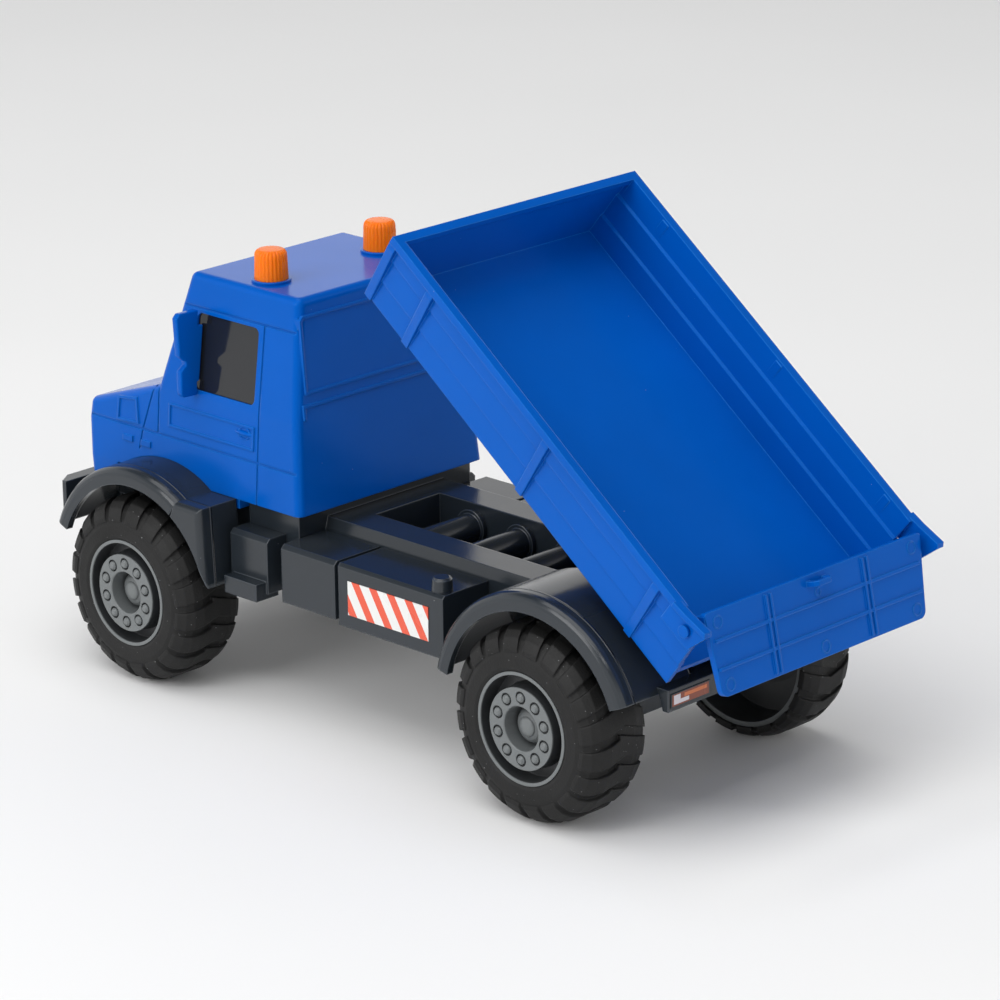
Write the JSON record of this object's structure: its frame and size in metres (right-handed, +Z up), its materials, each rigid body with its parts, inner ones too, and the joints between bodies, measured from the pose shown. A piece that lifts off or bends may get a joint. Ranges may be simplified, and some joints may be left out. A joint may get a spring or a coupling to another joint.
{
  "type": "toy dump truck",
  "caption": "Toy dump truck with a cab, roof beacons, tipping cargo bed with a swinging tailgate, fenders and chunky treaded wheels on turning axles.",
  "frame": {"origin": "on the ground under the middle of the truck, halfway along its length with the bed tipped", "axes": "+X towards the front of the truck, +Y to its left side, +Z up"},
  "size_m": [0.3346, 0.139, 0.1958],
  "materials": {
    "blue_plastic": "gloss",
    "chassis_plastic": "satin",
    "orange_plastic": "gloss",
    "window_plastic": "gloss",
    "tyre_plastic": "matt",
    "hub_plastic": "satin",
    "axle_steel": "satin",
    "hazard_sticker": "printed gloss film",
    "lamp_sticker": "printed gloss film"
  },
  "bodies": {
    "chassis": {"battery_box_left": "chassis_plastic", "battery_box_right": "chassis_plastic", "beacon_base_left": "blue_plastic", "beacon_base_right": "blue_plastic", "beacon_left": "orange_plastic", "beacon_right": "orange_plastic", "bed_pivot_pin": "chassis_plastic", "cab_shell": "blue_plastic", "chassis_frame": "chassis_plastic", "fender_front_left": "chassis_plastic", "fender_front_right": "chassis_plastic", "fender_rear_left": "chassis_plastic", "fender_rear_right": "chassis_plastic", "filler_cap_left": "chassis_plastic", "filler_cap_right": "chassis_plastic", "front_bumper": "chassis_plastic", "grille": "chassis_plastic", "hazard_label_left": "hazard_sticker", "hazard_label_right": "hazard_sticker", "headlight_left": "hub_plastic", "headlight_right": "hub_plastic", "lamp_label_left": "lamp_sticker", "lamp_label_right": "lamp_sticker", "light_bar": "chassis_plastic", "mirror_left": "blue_plastic", "mirror_right": "blue_plastic", "step_left": "chassis_plastic", "step_right": "chassis_plastic", "tool_box_left": "chassis_plastic", "tool_box_right": "chassis_plastic", "tube_tray": "chassis_plastic", "window_left": "window_plastic", "window_right": "window_plastic", "windscreen": "window_plastic"},
    "front_wheels": {"axle_front": "axle_steel", "hub_front_left": "hub_plastic", "hub_front_right": "hub_plastic", "tyre_front_left": "tyre_plastic", "tyre_front_right": "tyre_plastic"},
    "rear_wheels": {"axle_rear": "axle_steel", "hub_rear_left": "hub_plastic", "hub_rear_right": "hub_plastic", "tyre_rear_left": "tyre_plastic", "tyre_rear_right": "tyre_plastic"},
    "bed": {"bed": "blue_plastic"},
    "tailgate": {"tailgate": "blue_plastic"}
  },
  "joints": [
    {"name": "front_axle_spin", "type": "hinge", "parent": "chassis", "child": "front_wheels", "pos_m": [0.11534, 0, 0.0354], "axis": [0, 1, 0], "continuous": true},
    {"name": "rear_axle_spin", "type": "hinge", "parent": "chassis", "child": "rear_wheels", "pos_m": [-0.08866, 0, 0.0354], "axis": [0, 1, 0], "continuous": true},
    {"name": "bed_tip", "type": "hinge", "parent": "chassis", "child": "bed", "pos_m": [-0.11362, 0, 0.0775], "axis": [0, 1, 0], "range_deg": [0, 37.75]},
    {"name": "tailgate_swing", "type": "hinge", "parent": "bed", "child": "tailgate", "pos_m": [-0.15693, 0, 0.08608], "axis": [0, 1, 0], "range_deg": [-49.6, 35]}
  ]
}
